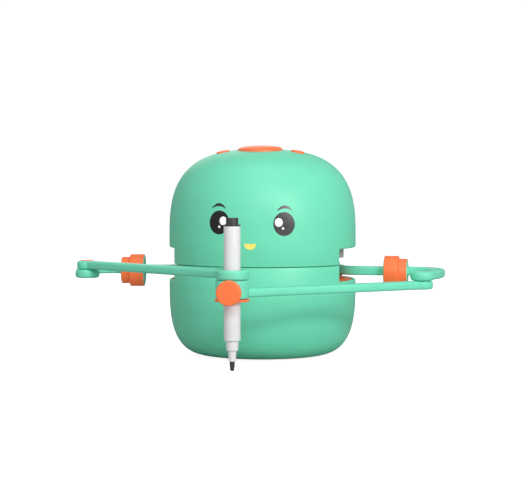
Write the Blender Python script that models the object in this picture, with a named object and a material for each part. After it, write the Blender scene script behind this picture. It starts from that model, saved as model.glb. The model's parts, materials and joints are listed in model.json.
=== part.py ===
"""Round desktop drawing robot with two jointed arms that carry a marker pen.

Lengths are in millimetres and are scaled to metres when a mesh is made.
+X is the robot's own left, the face looks along -Y, and +Z is up.
The origin is the centre of the underside, on the table. Heights in the source are
counted from a datum RAISE above the table, so the base's skirt and foot are below zero.
"""

import math

import bmesh
import bpy
from mathutils import Matrix, Vector

MM = 0.001
RAISE = Vector((0, 0, 2.0))

# Shells
BODY_R = 70.0
WALL = 2.4
BASE_FLAT_R = 38.0
BASE_UNDER_Z = -1.6
BASE_CORNER_Z = 50.0
BASE_POWER = 2.85
SEAM_LOW_Z = 66.8
SEAM_HIGH_Z = 67.4
DOME_Z = 86.0
DOME_H = 66.0
DOME_POWER = 2.9
BODY_STEPS = 48
ROUND_STEPS = 20
SMALL_STEPS = 12

# Side slots for the arms
SLOT_FROM = 61.6
SLOT_TO = 140.0
SLOT_LOW_Z = 55.0
SLOT_HIGH_Z = 78.8
SLOT_CORNER = 1.6

# Plates inside
DECK_R = 67.2
DECK_LOW_Z = 50.8
DECK_TOP_Z = 54.8
POCKET_Z = 52.8
UPPER_LOW_Z = 78.9
UPPER_TOP_Z = 81.3
COVER_R = 37.4
COVER_SCREWS = ((34.5, 0.0), (0.0, 34.5), (-34.5, 0.0), (0.0, -34.5))
BOARD_POSTS = ((-16.0, 25.0), (16.0, 25.0), (-12.0, -27.0), (12.0, -27.0))
CHIPS = ((-9, -9, 15, 15, 28.8), (10, -20, 10, 12, 29.0), (-21, 12, 12, 8, 28.6), (8, 12, 14, 9, 29.2),
         (-22, -22, 10, 10, 28.8))
PILLARS = ((-30.0, -42.0), (30.0, -42.0), (-30.0, 47.0), (30.0, 47.0))

# Arms
SHOULDER = (52.0, 21.3)
ELBOW = (122.4, -51.9)
PEN = (0.0, -148.8)
ARM_LOW_Z = 57.8
ARM_TOP_Z = 64.4
ARM_WIDTH = 10.0
HUB_R = 8.0
ELBOW_R = 8.8
STUB_PATH = ((52.0, 21.3), (58.0, 13.0), (65.0, 8.3), (75.0, 6.1), (93.0, 4.9))
HOOK_PATH = ((101.0, 4.4), (111.8, 3.6), (120.0, 1.4), (127.1, -3.4), (131.4, -11.0),
             (132.3, -22.0), (129.3, -37.0), (122.4, -51.9))
COLLAR = (100.1, 4.6)
COLLAR_TILT = {-1: 6.0, 1: 1.0}
COLLAR_Z = 60.2
COLLAR_HALF = 8.4
COLLAR_R = 12.3
COLLAR_TIP_R = 10.15
FOREARM_END_R = 7.5
LEFT_FOREARM_Z = (64.3, 70.3)
RIGHT_FOREARM_Z = (51.7, 57.7)
RING_R = 11.2
LEFT_RING_Z = (63.8, 70.4)
RIGHT_HUB_Z = (51.1, 63.3)
PIN_R = 2.2
CAP_R = 5.0
LEFT_CAP_Z = (68.7, 70.7)
RIGHT_CAP_Z = (51.75, 53.3)

# Pen, sleeve and clamp
SLEEVE_R = 7.2
SLEEVE_BORE = 5.8
RING_BORE = 8.6
PEN_R = 5.6
PEN_TIP_Z = 2.45
BARREL_Z = (22.85, 99.55)
KNOB_R = 8.35
KNOB_Z = 55.8

# Top buttons
POWER_R = 16.5
POWER_HOLE_R = 16.8
SIDE_BUTTON_X = 28.0
SIDE_BUTTON_R = 5.0
SIDE_HOLE_R = 5.3
BUTTON_Y = -13.0

COLOURS = {
    "shell_green": (0.165, 0.77, 0.51, 1.0),
    "arm_green": (0.18, 0.79, 0.53, 1.0),
    "orange": (1.0, 0.205, 0.07, 1.0),
    "light_grey": (0.55, 0.55, 0.57, 1.0),
    "dark_grey": (0.035, 0.035, 0.037, 1.0),
    "white": (0.86, 0.86, 0.87, 1.0),
    "steel": (0.6, 0.6, 0.62, 1.0),
    "rubber": (0.03, 0.03, 0.03, 1.0),
    "board_green": (0.01, 0.12, 0.05, 1.0),
    "cell_blue": (0.03, 0.09, 0.3, 1.0),
    "motor_black": (0.02, 0.02, 0.025, 1.0),
}
METAL = ("steel",)


# Mesh helpers

def clear_scene():
    for obj in list(bpy.data.objects):
        bpy.data.objects.remove(obj, do_unlink=True)


def paint(name, colour):
    material = bpy.data.materials.new(name)
    material.use_nodes = True
    shader = material.node_tree.nodes["Principled BSDF"]
    shader.inputs["Base Color"].default_value = COLOURS[colour]
    shader.inputs["Roughness"].default_value = 0.4
    shader.inputs["Metallic"].default_value = 1.0 if colour in METAL else 0.0
    return material


def mesh_object(name, points, faces, colour=None):
    """An object from points in millimetres, with its faces turned outward."""
    mesh = bpy.data.meshes.new(name)
    mesh.from_pydata([(Vector(p) + RAISE) * MM for p in points], [], faces)
    obj = bpy.data.objects.new(name, mesh)
    bpy.context.scene.collection.objects.link(obj)
    edit = bmesh.new()
    edit.from_mesh(mesh)
    bmesh.ops.recalc_face_normals(edit, faces=edit.faces)
    edit.to_mesh(mesh)
    edit.free()
    mesh.shade_smooth()
    mesh.set_sharp_from_angle(angle=math.radians(35))
    if colour:
        mesh.materials.append(paint(name, colour))
    return obj


def turned(name, profile, colour=None, steps=ROUND_STEPS, at=(0, 0, 0), along=(0, 0, 1), phase=0.0):
    """A body turned about an axis. The profile is a closed outline of (radius, height)."""
    tilt = Vector((0, 0, 1)).rotation_difference(Vector(along)).to_matrix()
    profile = list(profile)
    flat_start = profile[0][0] < 1e-6 and profile[0][1] == profile[1][1]
    flat_end = profile[-1][0] < 1e-6 and profile[-1][1] == profile[-2][1]
    on_axis = profile[0][0] < 1e-6
    profile = profile[int(flat_start):len(profile) - int(flat_end)]
    points = []
    rings = []
    for radius, height in profile:
        count = 1 if radius < 1e-6 else steps
        ring = []
        for step in range(count):
            angle = 2 * math.pi * step / steps + phase
            spot = Vector((radius * math.cos(angle), radius * math.sin(angle), height))
            ring.append(len(points))
            points.append(tilt @ spot + Vector(at))
        rings.append(ring)
    faces = []
    if flat_start:
        faces.append(tuple(rings[0]))
    if flat_end:
        faces.append(tuple(rings[-1]))
    spans = len(rings) - 1 if on_axis else len(rings)
    for index in range(spans):
        low, high = rings[index], rings[(index + 1) % len(rings)]
        for step in range(steps):
            after = (step + 1) % steps
            if len(low) == 1:
                faces.append((low[0], high[after], high[step]))
            elif len(high) == 1:
                faces.append((low[step], low[after], high[0]))
            else:
                faces.append((low[step], low[after], high[after], high[step]))
    return mesh_object(name, points, faces, colour)


def disc(name, x, y, radius, low, high, colour=None, steps=ROUND_STEPS, edge=0.0):
    """An upright round solid, with its two rims cut back by edge."""
    rim = [(radius - edge, low), (radius, low + edge), (radius, high - edge), (radius - edge, high)]
    if not edge:
        rim = [(radius, low), (radius, high)]
    return turned(name, [(0, low)] + rim + [(0, high)], colour, steps, (x, y, 0))


def box(name, low, high, colour=None):
    corners = [(x, y, z) for x in (low[0], high[0]) for y in (low[1], high[1]) for z in (low[2], high[2])]
    faces = [(0, 1, 3, 2), (4, 6, 7, 5), (0, 4, 5, 1), (2, 3, 7, 6), (0, 2, 6, 4), (1, 5, 7, 3)]
    return mesh_object(name, corners, faces, colour)


def smooth_path(points, per_span=2):
    """Points along a smooth curve through the given ones."""
    ends = [Vector(points[0]) * 2 - Vector(points[1])] + [Vector(p) for p in points]
    ends.append(Vector(points[-1]) * 2 - Vector(points[-2]))
    path = []
    for index in range(1, len(ends) - 2):
        a, b, c, d = ends[index - 1:index + 3]
        for step in range(per_span):
            t = step / per_span
            path.append(0.5 * (2 * b + (c - a) * t + (2 * a - 5 * b + 4 * c - d) * t * t
                               + (3 * b - a - 3 * c + d) * t ** 3))
    return path + [Vector(points[-1])]


def bar(name, path, width, low, high, colour=None, edge=1.5):
    """A flat bar with rounded long edges that follows a path in plan."""
    section = []
    for side, height, start in ((1, low, 270), (1, high, 0), (-1, high, 90), (-1, low, 180)):
        centre_z = height + edge if height == low else height - edge
        for angle in (start, start + 45, start + 90):
            turn = math.radians(angle)
            centre = side * (width / 2 - edge)
            section.append((centre + edge * math.cos(turn), centre_z + edge * math.sin(turn)))
    points = []
    for index, spot in enumerate(path):
        ahead = path[min(index + 1, len(path) - 1)] - path[max(index - 1, 0)]
        ahead.normalize()
        across = Vector((ahead.y, -ahead.x))
        for offset, height in section:
            points.append((spot.x + across.x * offset, spot.y + across.y * offset, height))
    count = len(section)
    faces = [tuple(range(count)), tuple(range(len(points) - count, len(points)))]
    for index in range(len(path) - 1):
        for step in range(count):
            after = (step + 1) % count
            here, there = index * count, (index + 1) * count
            faces.append((here + step, here + after, there + after, there + step))
    return mesh_object(name, points, faces, colour)


def combine(target, other, operation):
    """Joins or cuts target with other, which is then removed."""
    change = target.modifiers.new("combine", "BOOLEAN")
    change.operation = operation
    change.solver = "EXACT"
    change.object = other
    view = bpy.context.evaluated_depsgraph_get()
    made = bpy.data.meshes.new_from_object(target.evaluated_get(view))
    old = target.data
    target.modifiers.clear()
    target.data = made
    bpy.data.meshes.remove(old)
    bpy.data.objects.remove(other, do_unlink=True)
    return target


def join(target, other):
    return combine(target, other, "UNION")


def cut(target, other):
    return combine(target, other, "DIFFERENCE")


def set_origin(obj, spot):
    """Moves the object's origin without moving its shape."""
    spot = (Vector(spot) + RAISE) * MM
    obj.data.transform(Matrix.Translation(-spot))
    obj.location = spot
    return obj


def super_arc(flat_r, wall_r, flat_z, wall_z, power, first, last, count):
    """Points on a rounded corner, from angle first to last in degrees. 0 is the wall and 90 the flat."""
    points = []
    for step in range(count + 1):
        t = math.radians(first + (last - first) * step / count)
        radius = flat_r + (wall_r - flat_r) * max(math.cos(t), 0) ** (2 / power)
        height = wall_z + (flat_z - wall_z) * max(math.sin(t), 0) ** (2 / power)
        points.append((radius, height))
    return points


def dome_height(radius, wall=0.0):
    """Height of the head's outer surface, or of its inner one when wall is the wall's thickness."""
    share = 1 - (radius / (BODY_R - wall)) ** DOME_POWER
    return DOME_Z + (DOME_H - wall) * share ** (1 / DOME_POWER)


def dome_seat(x, y, reach):
    """Middle and outward direction of the flat that best fits the head's outer surface round a button."""
    left, right = (dome_height(math.hypot(x + way * reach, y)) for way in (-1, 1))
    front, back = (dome_height(math.hypot(x, y + way * reach)) for way in (-1, 1))
    middle = Vector((x, y, (left + right + front + back) / 4))
    return middle, Vector((left - right, front - back, 2 * reach)).normalized()


# Shells

def slot_cutter(side):
    """A curved block with rounded ends that opens one arm slot."""
    corner = math.degrees(SLOT_CORNER / BODY_R)
    columns = [(SLOT_FROM, SLOT_CORNER), (SLOT_FROM + 0.3 * corner, 0.3 * SLOT_CORNER)]
    columns.append((SLOT_FROM + corner, 0.0))
    inner = 12
    for step in range(1, inner):
        columns.append((SLOT_FROM + corner + (SLOT_TO - SLOT_FROM - 2 * corner) * step / inner, 0.0))
    columns += [(SLOT_TO - corner, 0.0), (SLOT_TO - 0.3 * corner, 0.3 * SLOT_CORNER), (SLOT_TO, SLOT_CORNER)]
    points = []
    for azimuth, inset in columns:
        angle = math.radians(azimuth)
        across = Vector((side * math.sin(angle), -math.cos(angle), 0))
        for radius, height in ((60, SLOT_LOW_Z + inset), (76, SLOT_LOW_Z + inset),
                               (76, SLOT_HIGH_Z - inset), (60, SLOT_HIGH_Z - inset)):
            points.append(across * radius + Vector((0, 0, height)))
    faces = [(0, 1, 2, 3), tuple(range(len(points) - 4, len(points)))]
    for index in range(len(columns) - 1):
        here = index * 4
        for step in range(4):
            after = (step + 1) % 4
            faces.append((here + step, here + after, here + 4 + after, here + 4 + step))
    return mesh_object("slot_cutter", points, faces)


def make_base_shell():
    outer = [(BODY_R - 0.3, SEAM_LOW_Z), (BODY_R, SEAM_LOW_Z - 0.3)]
    outer += super_arc(BASE_FLAT_R, BODY_R, BASE_UNDER_Z, BASE_CORNER_Z, BASE_POWER, 0, 90, 10)
    floor = [(37.7, BASE_UNDER_Z), (37.7, 0.8), (32.8, 0.8), (32.8, 3.2)]
    inner = super_arc(BASE_FLAT_R, BODY_R - WALL, 3.2, BASE_CORNER_Z, BASE_POWER, 90, 18, 5)
    ledge = [(65.0, 47.7), (65.0, 50.5), (BODY_R - WALL, 50.5), (BODY_R - WALL, 58.3), (65.4, 60.5)]
    lip = [(65.4, 70.0), (67.3, 70.0), (67.3, SEAM_LOW_Z)]
    shell = turned("base_shell", outer + floor + inner + ledge + lip, "shell_green", BODY_STEPS)
    for x, y in COVER_SCREWS:
        join(shell, disc("boss", x, y, 3.4, 1.9, 9.7, steps=SMALL_STEPS))
        cut(shell, disc("screw_hole", x, y, 1.3, -0.3, 8.1, steps=SMALL_STEPS))
    for side in (-1, 1):
        cut(shell, slot_cutter(side))
    cut(shell, box("inlet_hole", (-5.3, 62, 27.8), (5.3, 72, 32.2)))
    cut(shell, box("switch_hole", (-27.0, 56, 27.4), (-15.6, 72, 32.6)))
    return shell


def make_head_shell():
    outer = super_arc(0, BODY_R, DOME_Z + DOME_H, DOME_Z, DOME_POWER, 90, 0, 11)
    rim = [(BODY_R, SEAM_HIGH_Z + 0.3), (BODY_R - 0.3, SEAM_HIGH_Z), (BODY_R - WALL, SEAM_HIGH_Z)]
    inner = super_arc(0, BODY_R - WALL, DOME_Z + DOME_H - WALL, DOME_Z, DOME_POWER, 0, 90, 8)
    shell = turned("head_shell", outer + rim + inner, "shell_green", BODY_STEPS)
    for x, radius in ((0.0, POWER_HOLE_R), (-SIDE_BUTTON_X, SIDE_HOLE_R), (SIDE_BUTTON_X, SIDE_HOLE_R)):
        spot, way = dome_seat(x, BUTTON_Y, radius)
        cut(shell, turned("button_hole", [(0, -9), (radius, -9), (radius, 4), (0, 4)], None, 24, spot, way))
    for side in (-1, 1):
        cut(shell, slot_cutter(side))
    for row in range(5):
        low = 102.0 + 4.6 * row
        cut(shell, box("grille_slot", (-13, 55, low), (13, 75, low + 1.8)))
    return shell


def make_bottom_cover():
    cover = disc("bottom_cover", 0, 0, COVER_R, BASE_UNDER_Z, 0.5, "shell_green", 40)
    for x, y in COVER_SCREWS:
        cut(cover, disc("screw_way", x, y, 1.3, -3, 2, steps=SMALL_STEPS))
        cut(cover, disc("screw_seat", x, y, 2.45, -3, BASE_UNDER_Z + 1.0, steps=SMALL_STEPS))
    for x, y in BOARD_POSTS:
        join(cover, disc("post", x, y, 2.5, -0.3, 25.8, steps=SMALL_STEPS))
        cut(cover, disc("post_hole", x, y, 1.1, 18.0, 27.0, steps=SMALL_STEPS))
    return cover


# Fixed parts inside

def carriage_outline(name, half_width, end_r, low, high):
    """The lift carriage's plan: a straight bar with a round pad at each shoulder."""
    x, y = SHOULDER
    shape = box(name, (-x, y - half_width, low), (x, y + half_width, high))
    for side in (-1, 1):
        join(shape, disc("pad", side * x, y, end_r, low, high))
    return shape


def make_deck_plate():
    deck = disc("deck_plate", 0, 0, DECK_R, DECK_LOW_Z, DECK_TOP_Z, "orange", BODY_STEPS)
    cut(deck, carriage_outline("pocket", 7.2, 8.8, POCKET_Z, DECK_TOP_Z + 2))
    for x in (-SHOULDER[0], 0.0, SHOULDER[0]):
        cut(deck, disc("shaft_hole", x, SHOULDER[1], 3.6, DECK_LOW_Z - 1, POCKET_Z + 1, steps=SMALL_STEPS))
    for x, y in PILLARS:
        join(deck, disc("pillar", x, y, 4.0, DECK_TOP_Z - 2, UPPER_LOW_Z - 0.2, steps=SMALL_STEPS))
        cut(deck, disc("pillar_hole", x, y, 1.5, UPPER_LOW_Z - 11, UPPER_LOW_Z + 1, steps=SMALL_STEPS))
    return deck


def make_upper_plate():
    plate = disc("upper_plate", 0, 0, 66.8, UPPER_LOW_Z, UPPER_TOP_Z, "light_grey", BODY_STEPS)
    for side in (-1, 1):
        x = side * SHOULDER[0]
        join(plate, disc("boss", x, SHOULDER[1], 7.4, 70.0, UPPER_TOP_Z - 1))
        cut(plate, disc("boss_bore", x, SHOULDER[1], 3.0, 68.0, 78.5, steps=ROUND_STEPS))
    cut(plate, disc("screw_room", 0, SHOULDER[1], 3.6, UPPER_LOW_Z - 1, UPPER_TOP_Z + 1, steps=SMALL_STEPS))
    for x, y in PILLARS:
        cut(plate, disc("screw_seat", x, y, 1.6, UPPER_LOW_Z - 1, UPPER_TOP_Z + 1, steps=SMALL_STEPS))
    for azimuth in (90, 210, 330):
        x = 34 * math.cos(math.radians(azimuth))
        y = 34 * math.sin(math.radians(azimuth))
        join(plate, disc("column", x, y, 3.5, UPPER_TOP_Z - 1, 138.2, steps=SMALL_STEPS))
    return plate


def make_button_board():
    board = disc("button_board", 0, 0, 39.0, 138.5, 140.1, "board_green", 32)
    join(board, disc("switch", 0, BUTTON_Y, 4.0, 139.5, 145.2, steps=SMALL_STEPS))
    for side in (-1, 1):
        join(board, disc("switch", side * 27.3, BUTTON_Y, 3.0, 139.5, 143.0, steps=SMALL_STEPS))
    return board


def make_main_board():
    board = box("main_board", (-25, -35, 26.0), (25, 33, 27.6), "board_green")
    for x, y, width, depth, top in CHIPS:
        join(board, box("chip", (x, y, 27), (x + width, y + depth, top)))
    for x, y in BOARD_POSTS:
        cut(board, disc("board_hole", x, y, 1.4, 25, 29, steps=SMALL_STEPS))
    return board


def make_battery_pack():
    pack = box("battery_pack", (-30.5, -24, 3.7), (30.5, 8, 22.5), "cell_blue")
    bevel_edges(pack, 1.5)
    return pack


def bevel_edges(obj, width):
    edit = bmesh.new()
    edit.from_mesh(obj.data)
    bmesh.ops.bevel(edit, geom=list(edit.edges), offset=width * MM, segments=2, affect="EDGES", profile=0.5)
    edit.to_mesh(obj.data)
    edit.free()


def make_shoulder_motor(side, name):
    """A small geared motor under each shoulder, with its shaft socket on the shoulder axis."""
    x, y = SHOULDER
    inner, outer = side * (x - 17.5), side * (x + 5.8)
    low_x, high_x = min(inner, outer), max(inner, outer)
    motor = box(name, (low_x, y - 6, 30.5), (high_x, y + 6, 50.4), "motor_black")
    bevel_edges(motor, 0.8)
    cut(motor, disc("socket", side * x, y, 2.8, 45.0, 53.0))
    return motor


def make_lift_motor():
    y = SHOULDER[1]
    profile = [(0, 31.0), (7.4, 31.0), (8.0, 31.6), (8.0, 49.8), (7.4, 50.4), (2.8, 50.4), (2.8, 45.0),
               (0, 45.0)]
    return turned("lift_motor", profile, "light_grey", ROUND_STEPS, (0, y, 0))


def make_speaker():
    profile = [(0, 0), (10, 0), (10, 4), (15.5, 7), (17, 7), (17, 9), (14.5, 9), (6, 7.6), (5, 8.4), (0, 8.9)]
    return turned("speaker", profile, "dark_grey", ROUND_STEPS, (0, 48.5, 111.8), (0, 1, 0))


def make_charge_inlet():
    inlet = box("charge_inlet", (-5.0, 59.0, 28.1), (5.0, 68.4, 31.9), "steel")
    cut(inlet, box("socket", (-4.4, 61.0, 28.7), (4.4, 70.0, 31.3)))
    return inlet


def make_screw(name, x, y, head_z, length, up):
    """A pan-head screw. Its head's flat underside is at head_z and its shank runs up or down."""
    way = 1 if up else -1
    profile = [(0, -1.0), (1.6, -1.0), (2.2, -0.5), (2.2, 0), (0.9, 0), (0.9, length), (0, length)]
    return turned(name, profile, "steel", 8, (x, y, head_z), (0, 0, way))


def make_screws():
    for index, (x, y) in enumerate(COVER_SCREWS):
        make_screw(f"cover_screw_{index + 1}", x, y, BASE_UNDER_Z + 0.95, 7.0, True)
    for index, (x, y) in enumerate(PILLARS):
        make_screw(f"frame_screw_{index + 1}", x, y, UPPER_TOP_Z + 0.02, 10.0, False)
    for index, (x, y) in enumerate(BOARD_POSTS):
        make_screw(f"board_screw_{index + 1}", x, y, 27.62, 6.0, False)


# Moving parts in the body

def make_lift_carriage():
    """A channel that holds both shoulder hubs between its two plates."""
    x, y = SHOULDER
    carriage = carriage_outline("carriage_low", 6.0, 6.2, 55.6, 57.3)
    carriage.name = "lift_carriage"
    carriage.data.materials.clear()
    carriage.data.materials.append(paint("lift_carriage", "light_grey"))
    join(carriage, box("web", (-37, y - 5.5, 56.4), (37, y + 5.5, 65.4)))
    join(carriage, carriage_outline("carriage_high", 4.2, 4.6, 64.8, 66.4))
    for side in (-1, 1):
        cut(carriage, disc("guide", side * x, y, 3.4, 54, 67, steps=ROUND_STEPS))
    cut(carriage, disc("nut", 0, y, 2.6, 54, 67, steps=ROUND_STEPS))
    return set_origin(carriage, (0, y, 60))


def make_lift_screw():
    y = SHOULDER[1]
    profile = [(0, 45.4), (2.0, 45.4), (2.4, 45.8), (2.4, 71.6), (2.0, 72.0), (0, 72.0)]
    return set_origin(turned("lift_screw", profile, "steel", ROUND_STEPS, (0, y, 0)), (0, y, 60))


def hexagon(name, x, y, across_corners_r, low, high):
    profile = [(0, low), (across_corners_r, low), (across_corners_r, high), (0, high)]
    return turned(name, profile, None, 6, (x, y, 0))


def make_drive_shaft(side, name):
    """A shaft that is round in its bearings and six-sided where the shoulder hub slides on it."""
    x, y = side * SHOULDER[0], SHOULDER[1]
    profile = [(0, 45.4), (2.2, 45.4), (2.6, 45.8), (2.6, 77.4), (2.2, 77.8), (0, 77.8)]
    shaft = turned(name, profile, "steel", ROUND_STEPS, (x, y, 0))
    join(shaft, hexagon("hex", x, y, 3.2, 54.2, 69.2))
    return set_origin(shaft, (x, y, 60))


def make_power_button():
    spot, way = dome_seat(0, BUTTON_Y, POWER_R)
    flange = [(0, -4.4), (18.2, -4.4), (18.2, -3.4), (POWER_R, -3.4)]
    crown = [(POWER_R, 0.9), (16.1, 1.5), (15.1, 2.0), (12.5, 2.65), (8, 3.2), (0, 3.6)]
    return set_origin(turned("power_button", flange + crown, "orange", 32, spot, way), spot)


def make_side_button(side, name):
    spot, way = dome_seat(side * SIDE_BUTTON_X, BUTTON_Y, SIDE_BUTTON_R)
    flange = [(0, -5.2), (6.4, -5.2), (6.4, -4.2), (SIDE_BUTTON_R, -4.2)]
    crown = [(SIDE_BUTTON_R, 0.5), (4.4, 1.0), (2.4, 1.25), (0, 1.3)]
    return set_origin(turned(name, flange + crown, "orange", ROUND_STEPS, spot, way), spot)


def make_power_switch():
    switch = box("power_switch", (-26.5, 60.0, 28.1), (-16.1, 63.2, 31.9), "dark_grey")
    join(switch, box("thumb", (-25.6, 62.5, 28.7), (-21.6, 65.2, 31.3)))
    return set_origin(switch, (-21.3, 62, 30))


# Arms

def mirror_path(points, side):
    return smooth_path([(side * x, y) for x, y in points])


def collar_axis(side):
    tilt = math.radians(COLLAR_TILT[side])
    return Vector((side * math.cos(tilt), -math.sin(tilt), 0))


def collar_turned(name, side, profile, colour=None, steps=ROUND_STEPS):
    return turned(name, profile, colour, steps, (side * COLLAR[0], COLLAR[1], COLLAR_Z), collar_axis(side))


def make_stub(side, name):
    x, y = side * SHOULDER[0], SHOULDER[1]
    stub = bar(name, mirror_path(STUB_PATH, side), ARM_WIDTH, ARM_LOW_Z, ARM_TOP_Z, "arm_green")
    join(stub, disc("hub", x, y, HUB_R, ARM_LOW_Z - 0.05, ARM_TOP_Z + 0.05))
    cut(stub, hexagon("hex_bore", x, y, 3.3, ARM_LOW_Z - 2, ARM_TOP_Z + 2))
    plug = [(0, -8.85), (10.9, -8.85), (11.3, -8.45), (11.3, -1.0), (0, -1.0)]
    join(stub, collar_turned("plug", side, plug))
    return set_origin(stub, (x, y, 60))


def make_collar(side, name):
    h = COLLAR_HALF
    outside = [(COLLAR_R - 0.4, -h), (COLLAR_R, -h + 0.4), (COLLAR_R, 1.6), (COLLAR_R - 0.5, 2.15)]
    step = [(COLLAR_TIP_R + 0.75, 2.15), (COLLAR_TIP_R, 2.9)]
    tip = [(COLLAR_TIP_R, h - 0.4), (COLLAR_TIP_R - 0.2, h), (9.6, h)]
    inside = [(9.6, -0.6), (11.45, -0.6), (11.45, -h)]
    collar = collar_turned(name, side, outside + step + tip + inside, "orange")
    return set_origin(collar, (side * COLLAR[0], COLLAR[1], COLLAR_Z))


def make_outer_arm(side, name):
    x, y = side * ELBOW[0], ELBOW[1]
    low = ARM_LOW_Z if side < 0 else ARM_LOW_Z + 0.2
    high = ARM_TOP_Z - 0.4 if side < 0 else ARM_TOP_Z
    arm = bar(name, mirror_path(HOOK_PATH, side), ARM_WIDTH, low, high, "arm_green")
    join(arm, disc("boss", x, y, ELBOW_R, low - 0.05, high + 0.05, edge=1.4))
    join(arm, collar_turned("plug", side, [(0, -0.3), (9.45, -0.3), (9.45, 8.55), (9.1, 8.85), (0, 8.85)]))
    cut(arm, disc("pin_hole", x, y, PIN_R + 0.02, low - 2, high + 2))
    return set_origin(arm, (side * SHOULDER[0], SHOULDER[1], 60))


def make_elbow_pin(side, name):
    x, y = side * ELBOW[0], ELBOW[1]
    low, high = (ARM_LOW_Z + 0.6, 68.5) if side < 0 else (53.5, ARM_TOP_Z - 0.6)
    pin = disc(name, x, y, PIN_R, low, high, "steel", edge=0.2)
    return set_origin(pin, (side * SHOULDER[0], SHOULDER[1], 60))


def make_elbow_cap(side, name):
    x, y = side * ELBOW[0], ELBOW[1]
    low, high = LEFT_CAP_Z if side < 0 else RIGHT_CAP_Z
    if side < 0:
        profile = [(0, low), (CAP_R, low), (CAP_R, high - 0.4), (CAP_R - 0.4, high), (0, high)]
    else:
        profile = [(0, low), (CAP_R - 0.4, low), (CAP_R, low + 0.4), (CAP_R, high), (0, high)]
    return set_origin(turned(name, profile, "orange", ROUND_STEPS, (x, y, 0)), (x, y, 60))


def forearm_bar(side, name, low, high):
    x, y = side * ELBOW[0], ELBOW[1]
    start, end = Vector((x, y)), Vector(PEN)
    path = [start.lerp(end, share) for share in (0.0, 0.5, 0.945)]
    arm = bar(name, path, ARM_WIDTH, low, high, "arm_green")
    join(arm, disc("elbow_end", x, y, FOREARM_END_R, low - 0.04, high + 0.04, edge=0.9))
    return arm


def make_left_forearm():
    low, high = LEFT_FOREARM_Z
    arm = forearm_bar(-1, "left_forearm", low, high)
    join(arm, disc("ring", *PEN, RING_R, *LEFT_RING_Z, edge=0.9))
    cut(arm, disc("ring_bore", *PEN, RING_BORE, low - 3, high + 3, steps=32))
    cut(arm, disc("pin_hole", -ELBOW[0], ELBOW[1], PIN_R + 0.06, low - 2, high + 2))
    cut(arm, disc("cap_seat", -ELBOW[0], ELBOW[1], CAP_R + 0.1, 68.6, high + 2))
    return set_origin(arm, (-ELBOW[0], ELBOW[1], 60))


def make_right_forearm():
    low, high = RIGHT_FOREARM_Z
    arm = forearm_bar(1, "right_forearm", low, high)
    join(arm, disc("hub", *PEN, RING_R, *RIGHT_HUB_Z, edge=0.9))
    cut(arm, disc("hub_bore", *PEN, SLEEVE_R + 0.1, low - 3, RIGHT_HUB_Z[1] + 3, steps=32))
    cut(arm, disc("pin_hole", ELBOW[0], ELBOW[1], PIN_R + 0.06, low - 2, high + 2))
    cut(arm, disc("cap_seat", ELBOW[0], ELBOW[1], CAP_R + 0.1, low - 2, 53.4))
    cut(arm, knob_hole("screw_way", 2.1, 20.0))
    return set_origin(arm, (ELBOW[0], ELBOW[1], 60))


def knob_hole(name, radius, length):
    return turned(name, [(0, 6.5), (radius, 6.5), (radius, length), (0, length)], None, SMALL_STEPS,
                  (PEN[0], PEN[1], KNOB_Z), (0, -1, 0))


# Pen and its holder

def make_pen_sleeve():
    profile = [(SLEEVE_BORE, 49.2), (11.5, 49.2), (11.8, 49.5), (11.8, 50.5), (11.5, 50.8), (SLEEVE_R, 50.8),
               (SLEEVE_R, 68.6), (6.9, 68.9), (SLEEVE_BORE, 68.9)]
    sleeve = turned("pen_sleeve", profile, "orange", ROUND_STEPS, (PEN[0], PEN[1], 0))
    cut(sleeve, turned("screw_way", [(0, 2), (2.1, 2), (2.1, 9), (0, 9)], None, SMALL_STEPS,
                       (PEN[0], PEN[1], KNOB_Z), (0, -1, 0)))
    return set_origin(sleeve, (ELBOW[0], ELBOW[1], 60))


def make_clamp_knob():
    profile = [(0, 5.75), (1.4, 5.75), (1.8, 6.15), (1.8, 12.0), (3.2, 12.4), (7.8, 12.4), (KNOB_R, 13.0),
               (KNOB_R, 16.0), (7.9, 17.0), (7.0, 17.4), (0, 17.5)]
    knob = turned("clamp_knob", profile, "orange", ROUND_STEPS, (PEN[0], PEN[1], KNOB_Z), (0, -1, 0))
    return set_origin(knob, (PEN[0], PEN[1] - 12, KNOB_Z))


def make_pen():
    low, high = BARREL_Z
    at = (PEN[0], PEN[1], 0)
    bottom = PEN_TIP_Z
    barrel = [(0, low), (5.1, low), (PEN_R, low + 0.5), (PEN_R, high), (0, high)]
    plug = [(0, high + 0.02), (PEN_R, high + 0.02), (PEN_R, high + 1.1), (4.15, high + 1.1),
            (4.15, high + 5.3), (3.85, high + 5.6), (0, high + 5.6)]
    nose = [(0, bottom + 6.5), (2.4, bottom + 6.5), (2.85, bottom + 13.6), (4.0, bottom + 14.2),
            (4.3, low - 0.6), (4.3, low - 0.02), (0, low - 0.02)]
    nib = [(0, bottom), (0.7, bottom + 0.2), (1.2, bottom + 1.0), (1.75, bottom + 3.4), (1.75, bottom + 6.48),
           (0, bottom + 6.48)]
    for name, profile, colour in (("pen_barrel", barrel, "white"), ("pen_plug", plug, "dark_grey"),
                                  ("pen_nose", nose, "white"), ("pen_nib", nib, "dark_grey")):
        set_origin(turned(name, profile, colour, ROUND_STEPS, at), (PEN[0], PEN[1], 60))


def make_body():
    make_base_shell()
    make_head_shell()
    make_bottom_cover()
    disc("foot_pad", 0, 0, 31.0, -RAISE.z, BASE_UNDER_Z - 0.02, "rubber", 40)
    make_deck_plate()
    make_upper_plate()
    make_button_board()
    make_main_board()
    make_battery_pack()
    make_shoulder_motor(-1, "left_motor")
    make_shoulder_motor(1, "right_motor")
    make_lift_motor()
    make_speaker()
    make_charge_inlet()
    make_screws()


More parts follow.
